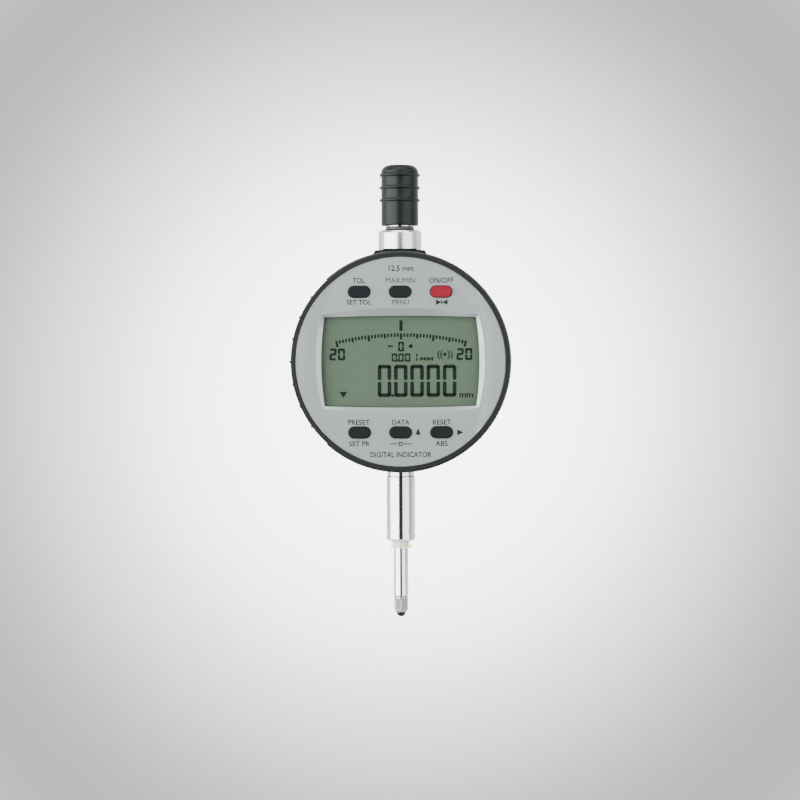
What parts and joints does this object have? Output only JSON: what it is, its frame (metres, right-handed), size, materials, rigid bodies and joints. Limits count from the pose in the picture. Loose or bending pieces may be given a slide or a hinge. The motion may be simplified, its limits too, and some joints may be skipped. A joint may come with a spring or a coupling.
{
  "type": "digital dial indicator",
  "caption": "Digital dial indicator with a round swivelling display, 8 mm clamping stem, sprung spindle with knurled ball contact, push keys and rubber lifting cap.",
  "frame": {"origin": "middle of the stem's clamping length, on the spindle axis", "axes": "+Z along the spindle axis towards the lifting cap; -Y is the side the display faces; +X to the right of someone reading the display"},
  "size_m": [0.0604, 0.028, 0.1264],
  "materials": {
    "case_black": "fine matt",
    "housing_black": "matt black",
    "face_silver": "fine satin",
    "pane_clear": "polished",
    "lcd_green": "satin polariser",
    "key_dark": "matt",
    "key_red": "matt",
    "steel_polished": "ground and polished",
    "steel_fine": "fine ground",
    "steel_dark": "polished hard metal",
    "bronze": "bored",
    "seal_yellow": "translucent",
    "cap_rubber": "matt",
    "seal_rubber": "matt",
    "board_green": "solder mask",
    "chip_black": "moulded",
    "plastic_white": "matt",
    "strip_grey": "soft",
    "shield_tin": "tinned",
    "flex_amber": "polyimide",
    "contact_gold": "plated"
  },
  "bodies": {
    "housing": {"housing": "housing_black", "back_cover": "housing_black", "cover_gasket": "seal_rubber", "cover_screws": "steel_fine", "stem": "steel_polished", "stem_lower_bush": "bronze", "stem_upper_bush": "bronze", "stem_seal": "seal_yellow", "top_sleeve": "steel_polished", "sleeve_bush": "bronze", "buffer_ring": "seal_rubber", "guide_rod": "steel_fine", "reader_board": "board_green", "reader_chips": "chip_black", "reader_screws": "steel_fine", "measuring_spring": "steel_fine", "swivel_o_ring": "seal_rubber"},
    "spindle": {"spindle": "steel_polished", "contact_point": "steel_fine", "contact_ball": "steel_dark", "cap_core": "steel_polished", "lifting_cap": "cap_rubber", "carrier": "face_silver", "carrier_screw": "steel_fine", "scale_bar": "shield_tin"},
    "display": {"display_case": "case_black", "face_plate": "face_silver", "window_pane": "pane_clear", "lcd_panel": "lcd_green", "lcd_reflector": "shield_tin", "lcd_frame": "plastic_white", "contact_strips": "strip_grey", "main_board": "board_green", "board_parts": "chip_black", "radio_module": "shield_tin", "key_switches": "chip_black", "battery_contacts": "contact_gold", "board_screws": "steel_fine", "swivel_clip": "steel_fine", "stop_peg": "steel_fine", "flex_lead": "flex_amber"},
    "key_tol": {"key_tol": "key_dark"},
    "key_max_min": {"key_max_min": "key_dark"},
    "key_on_off": {"key_on_off": "key_red"},
    "key_preset": {"key_preset": "key_dark"},
    "key_data": {"key_data": "key_dark"},
    "key_reset": {"key_reset": "key_dark"},
    "battery_drawer": {"battery_drawer": "case_black", "coin_cell": "steel_fine"}
  },
  "joints": [
    {"name": "spindle_slide", "type": "slide", "parent": "housing", "child": "spindle", "axis": [0, 0, 1], "range_m": [0, 0.0125], "stiffness_N_per_m": 20, "springref_m": -0.035, "deforming": ["measuring_spring"]},
    {"name": "display_swivel", "type": "hinge", "parent": "housing", "child": "display", "pos_m": [0, 0, 0.03965], "axis": [0, 1, 0], "range_deg": [-135, 135]},
    {"name": "key_tol_press", "type": "slide", "parent": "display", "child": "key_tol", "axis": [0, 1, 0], "range_m": [0, 0.0004], "stiffness_N_per_m": 2500, "springref_m": -0.0002},
    {"name": "key_max_min_press", "type": "slide", "parent": "display", "child": "key_max_min", "axis": [0, 1, 0], "range_m": [0, 0.0004], "stiffness_N_per_m": 2500, "springref_m": -0.0002},
    {"name": "key_on_off_press", "type": "slide", "parent": "display", "child": "key_on_off", "axis": [0, 1, 0], "range_m": [0, 0.0004], "stiffness_N_per_m": 2500, "springref_m": -0.0002},
    {"name": "key_preset_press", "type": "slide", "parent": "display", "child": "key_preset", "axis": [0, 1, 0], "range_m": [0, 0.0004], "stiffness_N_per_m": 2500, "springref_m": -0.0002},
    {"name": "key_data_press", "type": "slide", "parent": "display", "child": "key_data", "axis": [0, 1, 0], "range_m": [0, 0.0004], "stiffness_N_per_m": 2500, "springref_m": -0.0002},
    {"name": "key_reset_press", "type": "slide", "parent": "display", "child": "key_reset", "axis": [0, 1, 0], "range_m": [0, 0.0004], "stiffness_N_per_m": 2500, "springref_m": -0.0002},
    {"name": "battery_drawer_slide", "type": "slide", "parent": "display", "child": "battery_drawer", "axis": [-1, 0, 0], "range_m": [0, 0.026]}
  ]
}
